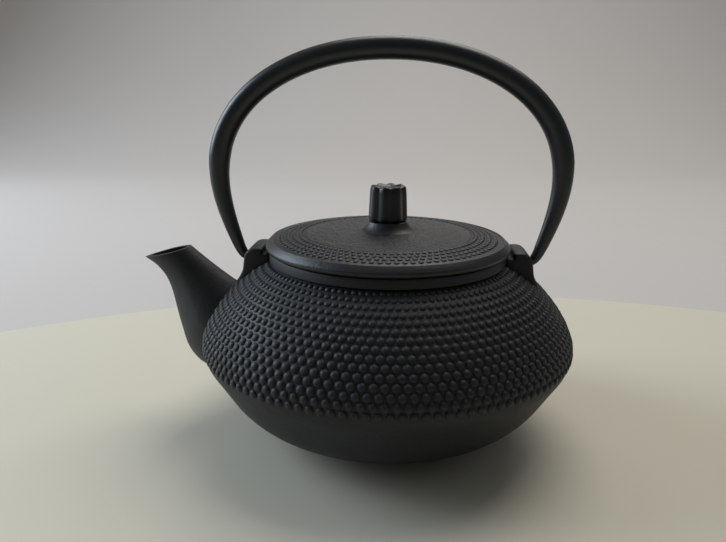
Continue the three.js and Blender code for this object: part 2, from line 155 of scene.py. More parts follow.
def blackened_iron(name, black, rubbed, grain, pitting, relief, roughness, wear, dusting, sheen):
    """Cast iron under a baked black coating, as grained, rubbed and dusty as asked."""
    finish = bpy.data.materials.new(name)
    finish.use_nodes = True
    tree = finish.node_tree
    shader = tree.nodes["Principled BSDF"]
    skin = placed(tree, sand_grain, {"Grain Scale": grain, "Pitting": pitting})
    high_spots = node(tree, "ShaderNodeAttribute", attribute_name="rub").outputs["Fac"]
    worn = placed(tree, rubbing, {"Reach": high_spots, "Amount": wear})["Mask"]
    film = placed(tree, dust, {"Amount": dusting})["Mask"]
    brown = tuple(c * k for c, k in zip(black, (1.5, 1.32, 1.15))) + (1,)
    ground = blended(tree, skin["Blotch"], black + (1,), brown)
    polished = blended(tree, worn, ground, rubbed + (1,))
    dusted = blended(tree, film, polished, (0.16, 0.155, 0.145, 1))
    tree.links.new(dusted, shader.inputs["Base Color"])
    even = between_values(tree, skin["Blotch"], roughness - 0.05, roughness + 0.06)
    smoother = maths(tree, "MULTIPLY_ADD", worn, -0.08, even)
    matt = maths(tree, "MULTIPLY_ADD", film, 0.3, smoother)
    tree.links.new(matt, shader.inputs["Roughness"])
    raw = node(tree, "ShaderNodeAttribute", attribute_name="raw").outputs["Fac"]
    coarseness = maths(tree, "MULTIPLY_ADD", raw, 8.0, 1.0)
    bump = node(tree, "ShaderNodeBump", {
        "Height": maths(tree, "MULTIPLY", skin["Height"], coarseness), "Strength": 0.8,
        "Distance": relief})
    tree.links.new(bump.outputs[0], shader.inputs["Normal"])
    shader.inputs["Coat Weight"].default_value = sheen
    shader.inputs["Coat Roughness"].default_value = 0.3
    return finish


pot_iron = blackened_iron(
    "pot_iron", black=(0.0052, 0.0075, 0.0086), rubbed=(0.022, 0.027, 0.03), grain=900,
    pitting=0.5, relief=0.12 * MM, roughness=0.57, wear=0.5, dusting=0.02, sheen=0.02)

enamel = bpy.data.materials.new("enamel")
enamel.use_nodes = True
tree = enamel.node_tree
place = node(tree, "ShaderNodeTexCoord").outputs["Object"]
ripple = node(tree, "ShaderNodeTexNoise", {"Vector": place, "Scale": 330, "Detail": 2})
shade = node(tree, "ShaderNodeTexNoise", {"Vector": place, "Scale": 60, "Detail": 5})
shader = tree.nodes["Principled BSDF"]
tree.links.new(
    blended(tree, shade.outputs[0], (0.008, 0.009, 0.01, 1), (0.022, 0.023, 0.024, 1)),
    shader.inputs["Base Color"])
tree.links.new(between_values(tree, shade.outputs[0], 0.12, 0.3), shader.inputs["Roughness"])
bump = node(tree, "ShaderNodeBump", {
    "Height": ripple.outputs[0], "Strength": 0.5, "Distance": 0.12 * MM})
tree.links.new(bump.outputs[0], shader.inputs["Normal"])

# ---- The pot: bowl, foot and collar ----
# The bowl stands on a low turned foot and ends in a plain collar. It is struck round a core on
# one axis, so it is raised ring by ring.

pivot_height = next(j["pos_m"][2] for j in frame["joints"] if j["name"] == "bail_swing")
PIVOT_DEPTH = 4.3 * MM
collar_top = pivot_height + PIVOT_DEPTH
body_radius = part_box("pot_body")[1].y
equator = 36 * MM
wall = 3.2 * MM
LID_OVERHANG = 1.2 * MM
collar_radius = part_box("lid")[1].y - LID_OVERHANG
recess_radius = collar_radius - 3.6 * MM
throat_radius = recess_radius - 4.5 * MM
ledge_top = collar_top - 4.8 * MM
ROUND_SIDES = 160


def along_bezier(start, start_handle, end_handle, end, steps):
    """Points along a smooth outline between two ends, the last end left out."""
    points = []
    for step in range(steps):
        t = step / steps
        u = 1 - t
        points.append(start * u ** 3 + start_handle * (3 * u * u * t)
                      + end_handle * (3 * u * t * t) + end * t ** 3)
    return points


def start_ring(name, sides, radius, centre):
    """A flat ring in edit mode, all selected, ready to be extruded."""
    bpy.ops.object.select_all(action="DESELECT")
    bpy.ops.mesh.primitive_circle_add(vertices=sides, radius=radius, location=centre)
    bpy.ops.object.transform_apply(location=True, rotation=True, scale=True)
    piece = bpy.context.object
    piece.name = name
    piece.data.name = name
    bpy.ops.object.mode_set(mode="EDIT")
    bpy.ops.mesh.select_all(action="SELECT")
    return piece


def close_piece(piece):
    """Fills the open ends, points all faces outwards and leaves edit mode."""
    bpy.ops.mesh.select_all(action="SELECT")
    bpy.ops.mesh.remove_doubles(threshold=1e-6)
    bpy.ops.mesh.select_all(action="DESELECT")
    bpy.ops.mesh.select_non_manifold()
    bpy.ops.mesh.fill_holes(sides=0)
    bpy.ops.mesh.select_all(action="SELECT")
    bpy.ops.mesh.normals_make_consistent(inside=False)
    bpy.ops.object.mode_set(mode="OBJECT")
    return piece


def extrude_rings(outline):
    """Extrudes the selected ring through an outline of (radius, height)."""
    for (r, z), (next_r, next_z) in zip(outline, outline[1:]):
        bpy.ops.mesh.extrude_region_move(TRANSFORM_OT_translate={"value": (0, 0, next_z - z)})
        grow = next_r / r
        bpy.ops.transform.resize(value=(grow, grow, 1), center_override=(0, 0, next_z))


def turned(name, outline, finish, sides=ROUND_SIDES):
    """A round piece raised ring by ring from its outline of (radius, height)."""
    radius, height = outline[0]
    piece = start_ring(name, sides, radius, (0, 0, height))
    extrude_rings(outline)
    close_piece(piece)
    piece.data.materials.append(finish)
    return piece


def make_active(piece):
    bpy.ops.object.select_all(action="DESELECT")
    piece.select_set(True)
    bpy.context.view_layer.objects.active = piece


def smooth(piece, angle=32):
    make_active(piece)
    bpy.ops.object.shade_smooth_by_angle(angle=math.radians(angle))


waist = Vector((body_radius - 7.8 * MM, equator - 16.1 * MM))
turn_in = Vector((body_radius - 2.7 * MM, equator - 7.7 * MM))
slope = (turn_in - waist).normalized()
bowl_base = Vector((41 * MM, 4.6 * MM))
belly = Vector((body_radius, equator))
shoulder_top = Vector((collar_radius - 0.9 * MM, collar_top - 3.9 * MM))
bowl_skin = along_bezier(
    bowl_base, bowl_base + Vector((9.7, 2.2)) * MM, waist - slope * 8 * MM, waist, 14)
bowl_skin += along_bezier(
    waist, waist.lerp(turn_in, 0.3), waist.lerp(turn_in, 0.7), turn_in, 3)
bowl_skin += along_bezier(
    turn_in, turn_in + slope * 3 * MM, belly - Vector((0, 4.2)) * MM, belly, 7)
shoulder_skin = along_bezier(
    belly, belly + Vector((0, 9)) * MM, shoulder_top + Vector((11.9, -5.3)) * MM,
    shoulder_top, 24) + [shoulder_top]
pot_skin = bowl_skin + shoulder_skin

foot_radius = 34 * MM
foot = [(2 * MM, 0), (foot_radius - 1.2 * MM, 0), (foot_radius - 0.4 * MM, 0.3 * MM),
        (foot_radius, 1 * MM), (foot_radius + 0.3 * MM, 3.3 * MM),
        (foot_radius + 1 * MM, 3.9 * MM)]
collar = [(collar_radius - 0.3 * MM, shoulder_top.y + 0.1 * MM),
          (collar_radius, shoulder_top.y + 0.5 * MM),
          (collar_radius, collar_top - 0.9 * MM),
          (collar_radius - 0.25 * MM, collar_top - 0.3 * MM),
          (collar_radius - 0.9 * MM, collar_top),
          (recess_radius + 0.5 * MM, collar_top), (2 * MM, collar_top)]
pot = turned("pot_casting", foot + [tuple(p) for p in pot_skin] + collar, pot_iron)

# ---- The pot: spout ----
# The spout is cast with the bowl. It is wide and deep where it leaves the belly, with a soft keel
# in front, and necks in to a thin flat mouth that leans forward so that it pours cleanly.

spout_tip = Vector((-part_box("spout")[0].x, collar_top - 5.8 * MM))
mouth_back = spout_tip + Vector((-18.4, 4.6)) * MM
spout_front = [Vector(p) * MM for p in (
    (56, 18), (71, 20), (78.5, 26.8), (81.8, 37.5), (85.3, 53.7), (89.3, 60.7))] + [spout_tip]
spout_back = [mouth_back + Vector(p) * MM for p in (
    (-26.2, -19.4), (-16.7, -13.6), (-7, -6), (0, 0))]


FINE_STEPS = 200


def evenly_along(corners, count):
    """Points at equal distances along a smooth line through its corners."""
    line = []
    for step in range(FINE_STEPS + 1):
        t = (len(corners) - 1) * step / FINE_STEPS
        i = min(int(t), len(corners) - 2)
        t -= i
        a, b, c, d = (corners[min(max(i + k, 0), len(corners) - 1)] for k in (-1, 0, 1, 2))
        line.append(0.5 * (2 * b + (c - a) * t + (2 * a - 5 * b + 4 * c - d) * t * t
                           + (3 * b - a - 3 * c + d) * t ** 3))
    travelled = [0.0]
    for before, after in zip(line, line[1:]):
        travelled.append(travelled[-1] + (after - before).length)
    points = []
    i = 0
    for k in range(count + 1):
        goal = travelled[-1] * k / count
        while i < FINE_STEPS - 1 and travelled[i + 1] < goal:
            i += 1
        share = (goal - travelled[i]) / (travelled[i + 1] - travelled[i])
        points.append(line[i].lerp(line[i + 1], share))
    return points


SPOUT_STEPS = 36
ROOT_WIDTH = 30
MOUTH_WIDTH = 12


def spout_stations(shrink, overrun):
    """(centre, lean, half-length, half-width) of the spout's sections, root to mouth."""
    stations = []
    fronts = evenly_along(spout_front, SPOUT_STEPS)
    backs = evenly_along(spout_back, SPOUT_STEPS)
    for k, (front, back) in enumerate(zip(fronts, backs)):
        across = back - front
        middle = (front + back) / 2
        lean = math.atan2(across.y, -across.x)
        narrowing = min(max((k / SPOUT_STEPS - 0.1) / 0.85, 0), 1)
        narrowing *= narrowing * (3 - 2 * narrowing)
        width = (ROOT_WIDTH + (MOUTH_WIDTH - ROOT_WIDTH) * narrowing) * MM
        stations.append((Vector((-middle.x, 0, middle.y)), lean,
                         across.length / 2 - shrink, width / 2 - shrink))
    if overrun:
        centre, lean, half_length, half_width = stations[-1]
        past = Vector((-math.sin(lean), 0, math.cos(lean))) * overrun
        stations.append((centre + past, lean, half_length, half_width))
    return stations


def swept(name, sides, stations, finish, fullness=2.0, keel=0.0):
    """An oval section carried along stations in the XZ plane, each turned and sized."""
    centre, lean, across, side = stations[0]
    piece = start_ring(name, sides, across, centre)
    bpy.ops.object.mode_set(mode="OBJECT")
    for vertex in piece.data.vertices:
        turn = math.atan2(vertex.co.y, vertex.co.x - centre.x)
        to_back = math.copysign(abs(math.cos(turn)) ** (2 / fullness), math.cos(turn))
        to_side = math.copysign(abs(math.sin(turn)) ** (2 / fullness), math.sin(turn))
        vertex.co.x = centre.x + across * to_back
        vertex.co.y = side * to_side * (1 + keel * to_back)
    bpy.ops.object.mode_set(mode="EDIT")
    bpy.ops.transform.rotate(value=lean, orient_axis="Y", center_override=centre)
    for before, after in zip(stations, stations[1:]):
        step = after[0] - before[0]
        bpy.ops.mesh.extrude_region_move(TRANSFORM_OT_translate={"value": step})
        bpy.ops.transform.rotate(value=-before[1], orient_axis="Y", center_override=after[0])
        bpy.ops.transform.resize(
            value=(after[2] / before[2], after[3] / before[3], 1), center_override=after[0])
        bpy.ops.transform.rotate(value=after[1], orient_axis="Y", center_override=after[0])
    close_piece(piece)
    piece.data.materials.append(finish)
    return piece


def combine(piece, other, operation):
    """Joins or cuts a piece with another, which is used up."""
    make_active(piece)
    step = piece.modifiers.new(operation.lower(), "BOOLEAN")
    step.operation = operation
    step.solver = "EXACT"
    step.material_mode = "TRANSFER"
    step.object = other
    bpy.ops.object.modifier_apply(modifier=step.name)
    bpy.data.objects.remove(other)


SPOUT_FULLNESS = 1.75
SPOUT_KEEL = 0.2
spout = swept("spout", 56, spout_stations(0, 0), pot_iron, SPOUT_FULLNESS, SPOUT_KEEL)
spout_form = spout.copy()
spout_form.data = spout.data.copy()
bpy.context.scene.collection.objects.link(spout_form)
combine(pot, spout, "UNION")

# ---- The pot: lugs ----
# Two blunt lugs are cast on the shoulder, one over the spout and one opposite. Each carries a
# drilled hole for a peg of the bail, and stops just short of the lid's edge.

lug_inner = collar_radius + 2 * MM
lug_edge = lug_inner + 5.4 * MM
lug_face = lug_edge + 1.8 * MM
LUG_WIDTH = 17 * MM
flare_radius = lug_edge + 4 * MM
flare_height = next(
    a.lerp(b, (flare_radius - a.x) / (b.x - a.x)).y
    for a, b in zip(shoulder_skin, shoulder_skin[1:]) if b.x < flare_radius)
lug_top = collar_top + 0.4 * MM
lug_outline = [
    (collar_radius - 1 * MM, collar_top - 12 * MM), (flare_radius, flare_height - 2 * MM),
    (flare_radius, flare_height + 1 * MM), (lug_face + 0.5 * MM, pivot_height - 4 * MM),
    (lug_face, pivot_height), (lug_face - 0.5 * MM, pivot_height + 2.4 * MM),
    (lug_edge - 0.2 * MM, lug_top - 0.7 * MM), (lug_edge - 1.8 * MM, lug_top),
    (lug_inner, lug_top), (lug_inner, collar_top - 1.8 * MM),
    (collar_radius - 1 * MM, collar_top - 1.8 * MM)]


def lug(name, facing):
    """A lug as a thick plate with its outline's corners and edges rounded."""
    piece = start_ring(name, len(lug_outline), 10 * MM, (0, 0, 0))
    bpy.ops.object.mode_set(mode="OBJECT")
    for vertex, (x, z) in zip(piece.data.vertices, lug_outline):
        vertex.co = (facing * x, -LUG_WIDTH / 2, z)
    bpy.ops.object.mode_set(mode="EDIT")
    bpy.ops.mesh.edge_face_add()
    bpy.ops.mesh.extrude_region_move(TRANSFORM_OT_translate={"value": (0, LUG_WIDTH, 0)})
    close_piece(piece)
    for edge in piece.data.edges:
        ends = [piece.data.vertices[i].co for i in edge.vertices]
        edge.select = all(abs(end.x) > lug_inner - 0.1 * MM for end in ends)
    for face in piece.data.polygons:
        face.select = False
    bpy.ops.object.mode_set(mode="EDIT")
    bpy.ops.mesh.select_mode(type="EDGE")
    bpy.ops.mesh.bevel(offset=1.1 * MM, segments=4, affect="EDGES")
    bpy.ops.mesh.select_mode(type="VERT")
    bpy.ops.object.mode_set(mode="OBJECT")
    piece.data.materials.append(pot_iron)
    return piece


for facing in (-1, 1):
    combine(pot, lug("lug", facing), "UNION")

# ---- The pot: hollow, ledge and spout passage ----
# The core leaves the wall an even 3 mm or so. Inside the collar is a recess for the lid's skirt,
# and under it a ledge that the strainer hangs on. The hollow is enamelled, the passage is not.

ledge_under = ledge_top - 2.9 * MM
hollow_floor = 7.4 * MM
inner_skin = []
for i, point in enumerate(pot_skin):
    along = (pot_skin[min(i + 1, len(pot_skin) - 1)] - pot_skin[max(i - 1, 0)]).normalized()
    inner_skin.append(point + Vector((-along.y, along.x)) * wall)
hollow = [(2 * MM, hollow_floor)]
hollow += [tuple(p) for p in inner_skin if p.y < ledge_under - 0.5 * MM]
hollow += [(throat_radius + 0.3 * MM, ledge_under), (throat_radius, ledge_under + 0.4 * MM),
           (throat_radius, ledge_top - 0.4 * MM), (throat_radius + 0.4 * MM, ledge_top),
           (recess_radius, ledge_top), (recess_radius, collar_top - 0.5 * MM),
           (recess_radius + 0.5 * MM, collar_top + 0.05 * MM),
           (recess_radius + 0.6 * MM, collar_top + 2 * MM), (2 * MM, collar_top + 2 * MM)]
combine(pot, turned("hollow", hollow, enamel, 120), "DIFFERENCE")
passage_wall = 1.9 * MM
passage = swept(
    "passage", 40, spout_stations(passage_wall, 3 * MM), pot_iron, SPOUT_FULLNESS, SPOUT_KEEL)
combine(pot, passage, "DIFFERENCE")

peg_radius = 1.7 * MM
hole_radius = peg_radius + 0.35 * MM
hole_end = lug_face - 6.05 * MM
HOLE_CUT = 10 * MM
for facing in (-1, 1):
    bpy.ops.object.select_all(action="DESELECT")
    bpy.ops.mesh.primitive_cylinder_add(
        vertices=32, radius=hole_radius, depth=HOLE_CUT, rotation=(0, math.pi / 2, 0),
        location=(facing * (hole_end + HOLE_CUT / 2), 0, pivot_height))
    bpy.ops.object.transform_apply(location=True, rotation=True, scale=True)
    bpy.context.object.data.materials.append(pot_iron)
    combine(pot, bpy.context.object, "DIFFERENCE")
smooth(pot)

# ---- The pot: dots ----
# The shoulder is covered with rows of small round dots, the hail pattern pressed into the mould
# one by one. Every row has as many dots, so they shrink as the rows climb to the collar.


def paint(piece, quality, rule):
    """Stores how rubbed or raw a spot is, from 0 to 1, by a rule on its place."""
    layer = piece.data.attributes.new(quality, "FLOAT", "POINT")
    for vertex, value in zip(piece.data.vertices, layer.data):
        value.value = min(max(rule(vertex.co), 0), 1)


def one_dot(finish, sides=10):
    """A unit dot: a round dome of radius 1 and height 1 on a short foot."""
    dot = start_ring("dot", sides, 1, (0, 0, -0.6))
    extrude_rings([(1, -0.6), (0.96, 0.3), (0.7, 0.84)])
    bpy.ops.mesh.extrude_region_move(TRANSFORM_OT_translate={"value": (0, 0, 0.16)})
    bpy.ops.mesh.merge(type="CENTER")
    close_piece(dot)
    dot.data.materials.append(finish)
    paint(dot, "rub", lambda place: 0.4 * place.z)
    smooth(dot, 75)
    return dot


def scatter(dot, places):
    """Copies of the dot, each with its own mesh, at (place, outward, radius, height)."""
    copies = []
    for place, outward, radius, height in places:
        copy = dot.copy()
        copy.data = dot.data.copy()
        turn = outward.to_track_quat("Z", "Y").to_matrix().to_4x4()
        size = Matrix.Diagonal((radius, radius, height, 1))
        copy.data.transform(Matrix.Translation(place) @ turn @ size)
        bpy.context.scene.collection.objects.link(copy)
        copies.append(copy)
    bpy.data.objects.remove(dot)
    return copies


def join_to(piece, copies):
    make_active(piece)
    for copy in copies:
        copy.select_set(True)
    bpy.ops.object.join()


def uneven(place, scale, seed):
    """A steady unevenness between -1 and 1 that depends only on the place."""
    return noise.noise(place * scale + Vector((seed, 0, 0)))


DOTS_ROUND = 124
DOT_ROWS = 15
ROW_PITCH = 2.88 * MM
FIRST_ROW = 2.0 * MM
shoulder_down = list(reversed(pot_skin))
travelled = [0.0]
for above, below in zip(shoulder_down, shoulder_down[1:]):
    travelled.append(travelled[-1] + (below - above).length)
dot_places = []
for row in range(DOT_ROWS):
    goal = FIRST_ROW + row * ROW_PITCH
    i = next(k for k, run in enumerate(travelled) if run > goal) - 1
    share = (goal - travelled[i]) / (travelled[i + 1] - travelled[i])
    ring = shoulder_down[i].lerp(shoulder_down[i + 1], share)
    along = (shoulder_down[i + 1] - shoulder_down[i]).normalized()
    pitch = 2 * math.pi * ring.x / DOTS_ROUND
    room = min(pitch, math.hypot(pitch / 2, ROW_PITCH))
    for k in range(DOTS_ROUND):
        turn = 2 * math.pi * (k + 0.5 * (row % 2)) / DOTS_ROUND
        place = Vector((ring.x * math.cos(turn), ring.x * math.sin(turn), ring.y))
        outward = Vector((-along.y * math.cos(turn), -along.y * math.sin(turn), along.x))
        on_lug = abs(place.y) < LUG_WIDTH / 2 + 0.9 * MM and ring.x < flare_radius + 1 * MM
        _, nearest, nearest_out, _ = spout_form.closest_point_on_mesh(place)
        from_spout = place - nearest
        on_spout = from_spout.dot(nearest_out) < 0 or from_spout.length < 0.8 * MM
        if on_lug or on_spout:
            continue
        radius = room * (0.455 + 0.012 * uneven(place, 400, row))
        height = room * (0.21 + 0.03 * uneven(place, 300, row + 40))
        dot_places.append((place, outward, radius, height))
bpy.data.objects.remove(spout_form)


def pot_rub(place):
    """The collar's rim, the lugs' tops and the spout's lip are rubbed bright."""
    reach = math.hypot(place.x, place.y)
    rim = 1 - abs(place.z - collar_top) / (0.7 * MM) if reach < collar_radius + 1 * MM else 0
    tops = (place.z - pivot_height - 3 * MM) / (2 * MM) if reach < lug_face else 0
    lip_share = (reach - mouth_back.x) / (spout_tip.x - mouth_back.x)
    lip_height = mouth_back.y + (spout_tip.y - mouth_back.y) * lip_share
    lip = 1 - abs(place.z - lip_height) / (0.8 * MM) if place.x < -73 * MM else 0
    foot_ring = 1 - place.z / (1.2 * MM)
    return max(0.8 * rim, 0.5 * tops, 0.9 * lip, 0.5 * foot_ring)


paint(pot, "rub", pot_rub)
join_to(pot, scatter(one_dot(pot_iron), dot_places))
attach(pot, "pot")
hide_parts("pot_body", "spout")

# ---- The bail ----
# The bail is one bar of iron, thick and a little flattened over the arch and drawn down to two
# round pegs. It was sprung into the holes of the lugs, and swings freely.

bail_iron = blackened_iron(
    "bail_iron", black=(0.0048, 0.0072, 0.0092), rubbed=(0.018, 0.022, 0.026), grain=620,
    pitting=0.3, relief=0.07 * MM, roughness=0.38, wear=0.5, dusting=0.04, sheen=0.15)
BAR_HALF_DEPTH = 4.05 * MM
BAR_HALF_WIDTH = 3.7 * MM
FULL_BAR_HEIGHT = 38.7 * MM
ARCH_POWER = 2 / 2.1
half_span = (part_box("bail")[1].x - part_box("bail")[0].x) / 2 - BAR_HALF_DEPTH
arch_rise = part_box("bail")[1].z - BAR_HALF_DEPTH - pivot_height
springing = 31.7 * MM
leg_foot = Vector((lug_face + 3.4 * MM, 4.3 * MM))
half_line = []
for step in range(30):
    turn = step / 30 * math.pi / 2
    half_line.append(Vector((
        half_span * math.sin(turn) ** ARCH_POWER,
        springing + (arch_rise - springing) * math.cos(turn) ** ARCH_POWER)))
leg_top = Vector((half_span, springing))
half_line += along_bezier(
    leg_top, leg_top - Vector((0, 8)) * MM, leg_foot + Vector((4.2, 11.3)) * MM, leg_foot, 16)
bend = Vector((lug_face + 1.8 * MM, 0))
peg_start = Vector((lug_face + 0.2 * MM, 0))
half_line += along_bezier(
    leg_foot, leg_foot.lerp(bend, 2 / 3), peg_start.lerp(bend, 2 / 3), peg_start, 8)
half_line += [peg_start, Vector((lug_face - 5.4 * MM, 0)), Vector((lug_face - 5.7 * MM, 0))]
bail_line = [Vector((-p.x, p.y)) for p in reversed(half_line[1:])] + half_line
bail_stations = []
for i, point in enumerate(bail_line):
    along = bail_line[min(i + 1, len(bail_line) - 1)] - bail_line[max(i - 1, 0)]
    lean = math.atan2(along.x, -along.y)
    fullness = min(max(point.y, 0) / FULL_BAR_HEIGHT, 1) ** 0.7
    ending = 0.75 if i in (0, len(bail_line) - 1) else 1
    bail_stations.append((
        Vector((point.x, 0, pivot_height + point.y)), lean,
        (peg_radius + (BAR_HALF_DEPTH - peg_radius) * fullness) * ending,
        (peg_radius + (BAR_HALF_WIDTH - peg_radius) * fullness) * ending))
bail = swept("bail", 32, bail_stations, bail_iron)
paint(bail, "rub", lambda place: 1.2 * (place.z - pivot_height - 66 * MM) / (12 * MM))
smooth(bail, 40)
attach(bail, "bail")
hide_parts("bail")

# ---- The lid ----
# A thin casting with a bevelled plain rim, four rows of dots, and a plain disc left as the sand
# gave it. A skirt underneath drops into the collar, and a low flare carries the knob.

lid_iron = blackened_iron(
    "lid_iron", black=(0.0085, 0.0104, 0.0112), rubbed=(0.034, 0.038, 0.04), grain=780,
    pitting=0.8, relief=0.1 * MM, roughness=0.44, wear=0.7, dusting=0.08, sheen=0.08)
lid_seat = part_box("lid")[0].z + 3.7 * MM
lid_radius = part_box("lid")[1].y
lid_top = lid_seat + 6.5 * MM
knob_seat = lid_seat + 9.8 * MM
lid_under = lid_top - 3.2 * MM
crease = Vector((lid_radius - 2 * MM, lid_seat + 3.7 * MM))
flare_start = Vector((10.2 * MM, lid_top))
flare_end = Vector((7.3 * MM, knob_seat))
field_edge = crease + Vector((-0.9, -0.35)) * MM
dome_control = Vector((crease.x * 0.65, lid_top))
flare_control = Vector((8.2 * MM, lid_top + 1.1 * MM))
lid_dome = along_bezier(
    field_edge, field_edge.lerp(dome_control, 2 / 3), flare_start.lerp(dome_control, 2 / 3),
    flare_start, 46)
lid_flare = along_bezier(
    flare_start, flare_start.lerp(flare_control, 2 / 3), flare_end.lerp(flare_control, 2 / 3),
    flare_end, 8)
skirt_outer = recess_radius - 0.6 * MM
skirt_inner = skirt_outer - 3 * MM
tang_bore = 2.6 * MM
lid_outline = [
    (tang_bore, lid_under), (skirt_inner - 3 * MM, lid_seat + 2.1 * MM),
    (skirt_inner - 0.4 * MM, lid_seat + 0.9 * MM), (skirt_inner, lid_seat),
    (skirt_inner, lid_seat - 3.3 * MM), (skirt_inner + 0.4 * MM, lid_seat - 3.7 * MM),
    (skirt_outer - 0.6 * MM, lid_seat - 3.7 * MM), (skirt_outer - 0.1 * MM, lid_seat - 3.3 * MM),
    (skirt_outer, lid_seat - 2.8 * MM), (skirt_outer, lid_seat - 0.3 * MM),
    (skirt_outer + 0.3 * MM, lid_seat), (lid_radius - 0.9 * MM, lid_seat),
    (lid_radius - 0.3 * MM, lid_seat + 0.3 * MM), (lid_radius, lid_seat + 0.9 * MM),
    (lid_radius, lid_seat + 1.5 * MM), (lid_radius - 0.25 * MM, lid_seat + 2.0 * MM),
    (crease.x + 0.3 * MM, crease.y - 0.3 * MM), tuple(crease),
    (crease.x - 0.35 * MM, crease.y), (field_edge.x + 0.2 * MM, field_edge.y + 0.08 * MM)]
lid_outline += [tuple(p) for p in lid_dome + lid_flare]
lid_outline += [tuple(flare_end), (flare_end.x - 0.3 * MM, knob_seat + 0.15 * MM),
                (tang_bore, knob_seat + 0.15 * MM), (tang_bore, lid_under)]
lid = turned("lid_casting", lid_outline, lid_iron)
DISC_RADIUS = 31.9 * MM
for vertex in lid.data.vertices:
    reach = math.hypot(vertex.co.x, vertex.co.y)
    if vertex.co.z > lid_seat + 3.6 * MM and flare_start.x < reach < crease.x:
        sand = 0.24 * uneven(vertex.co, 400, 3) + 0.2 * uneven(vertex.co, 850, 9)
        on_disc = min(max((DISC_RADIUS - reach) / MM, 0), 1)
        on_disc *= min(max((reach - flare_start.x) / MM, 0), 1)
        vertex.co.z += sand * on_disc * MM


def lid_rub(place):
    """The rim's crease and the flare's top edge are rubbed."""
    reach = math.hypot(place.x, place.y)
    rim = 1 - abs(reach - crease.x) / (1.0 * MM) if place.z > lid_seat + 2 * MM else 0
    flare_edge = 1 - abs(reach - flare_end.x) / (0.8 * MM) if place.z > knob_seat - MM else 0
    return max(0.9 * rim, 0.6 * flare_edge, 0.12)


def lid_raw(place):
    """The disc inside the dots is left as the sand gave it."""
    reach = math.hypot(place.x, place.y)
    inside = min(DISC_RADIUS - reach, reach - flare_start.x) / MM
    return inside if place.z > lid_seat + 3 * MM else 0


paint(lid, "rub", lid_rub)
paint(lid, "raw", lid_raw)
smooth(lid)
LID_DOTS_ROUND = 94
LID_ROWS = (40.2 * MM, 37.85 * MM, 35.5 * MM, 33.15 * MM)
LID_DOT_HEIGHT = 0.42 * MM
lid_dots = []
for row, reach in enumerate(LID_ROWS):
    pitch = 2 * math.pi * reach / LID_DOTS_ROUND
    a, b = next(pair for pair in zip(lid_dome, lid_dome[1:]) if pair[1].x < reach)
    height_here = a.lerp(b, (reach - a.x) / (b.x - a.x)).y
    along = (b - a).normalized()
    for k in range(LID_DOTS_ROUND):
        turn = 2 * math.pi * (k + 0.5 * (row % 2)) / LID_DOTS_ROUND
        place = Vector((reach * math.cos(turn), reach * math.sin(turn), height_here))
        outward = Vector((along.y * math.cos(turn), along.y * math.sin(turn), -along.x))
        radius = pitch * (0.42 + 0.012 * uneven(place, 400, row))
        lid_dots.append((place, outward, radius, LID_DOT_HEIGHT))
join_to(lid, scatter(one_dot(lid_iron, 9), lid_dots))
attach(lid, "lid")
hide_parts("lid")

# ---- The knob and its washer ----
# The knob is a fluted iron casting, dipped in gloss black. Its tang goes through the lid and is
# clinched over a steel washer, so it holds fast but can be turned.

knob_iron = blackened_iron(
    "knob_iron", black=(0.0035, 0.005, 0.0082), rubbed=(0.014, 0.017, 0.022), grain=520,
    pitting=0.2, relief=0.04 * MM, roughness=0.33, wear=0.15, dusting=0, sheen=0.1)
knob_foot = knob_seat + 0.3 * MM
knob_height = 13.3 * MM
washer_top = lid_under - 0.3 * MM
clinch_top = washer_top - 1.3 * MM
clinch_end = clinch_top - 1.8 * MM
KNOB_LOBES = 8
TANG_RADIUS = 2.2 * MM
CLINCH_RADIUS = 4.0 * MM
grip_outline = [
    (6.3, 0), (6.75, 0.15), (7, 0.5), (7.05, 1.2), (6.96, 3.5), (6.84, 6), (6.72, 8.5),
    (6.6, 10.8), (6.48, 11.9), (6.26, 12.55), (5.9, 12.92), (5.4, 13.02), (4.9, 12.9), (4.45, 12.6),
    (3.8, 12.28), (2.6, 12.12), (1.2, 12.06)]
tang_outline = [
    (0.8 * MM, clinch_end), (TANG_RADIUS, clinch_end), (3.3 * MM, clinch_end + 0.5 * MM),
    (CLINCH_RADIUS, clinch_top - 0.5 * MM), (CLINCH_RADIUS, clinch_top),
    (TANG_RADIUS, clinch_top), (TANG_RADIUS, knob_foot)]
knob = turned(
    "knob", tang_outline + [(r * MM, knob_foot + z * MM) for r, z in grip_outline], knob_iron, 128)
for vertex in knob.data.vertices:
    up = (vertex.co.z - knob_foot) / knob_height
    reach = math.hypot(vertex.co.x, vertex.co.y)
    if up > -0.001 and reach > 1.5 * MM:
        turn = math.atan2(vertex.co.y, vertex.co.x) + math.radians(9)
        wave = 0.6 * math.cos(KNOB_LOBES * turn)
        lobe = wave + 0.8 * abs(math.cos(KNOB_LOBES / 2 * turn)) - 0.6
        depth = 0.38 * MM * min(0.3 + up / 0.1, 1) * min(reach / (6 * MM), 1)
        vertex.co.x *= 1 + depth * lobe / reach
        vertex.co.y *= 1 + depth * lobe / reach
        crown = min(max((up - 0.9) / 0.07, 0), 1) * min(max((reach - 3 * MM) / (2 * MM), 0), 1)
        vertex.co.z += 0.25 * MM * lobe * crown
paint(knob, "rub", lambda place: (place.z - knob_foot - 12 * MM) / (1.2 * MM))
paint(knob, "raw", lambda place: 0.6 if place.z > knob_foot + 12.1 * MM else 0)
smooth(knob, 50)
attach(knob, "knob")
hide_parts("knob")


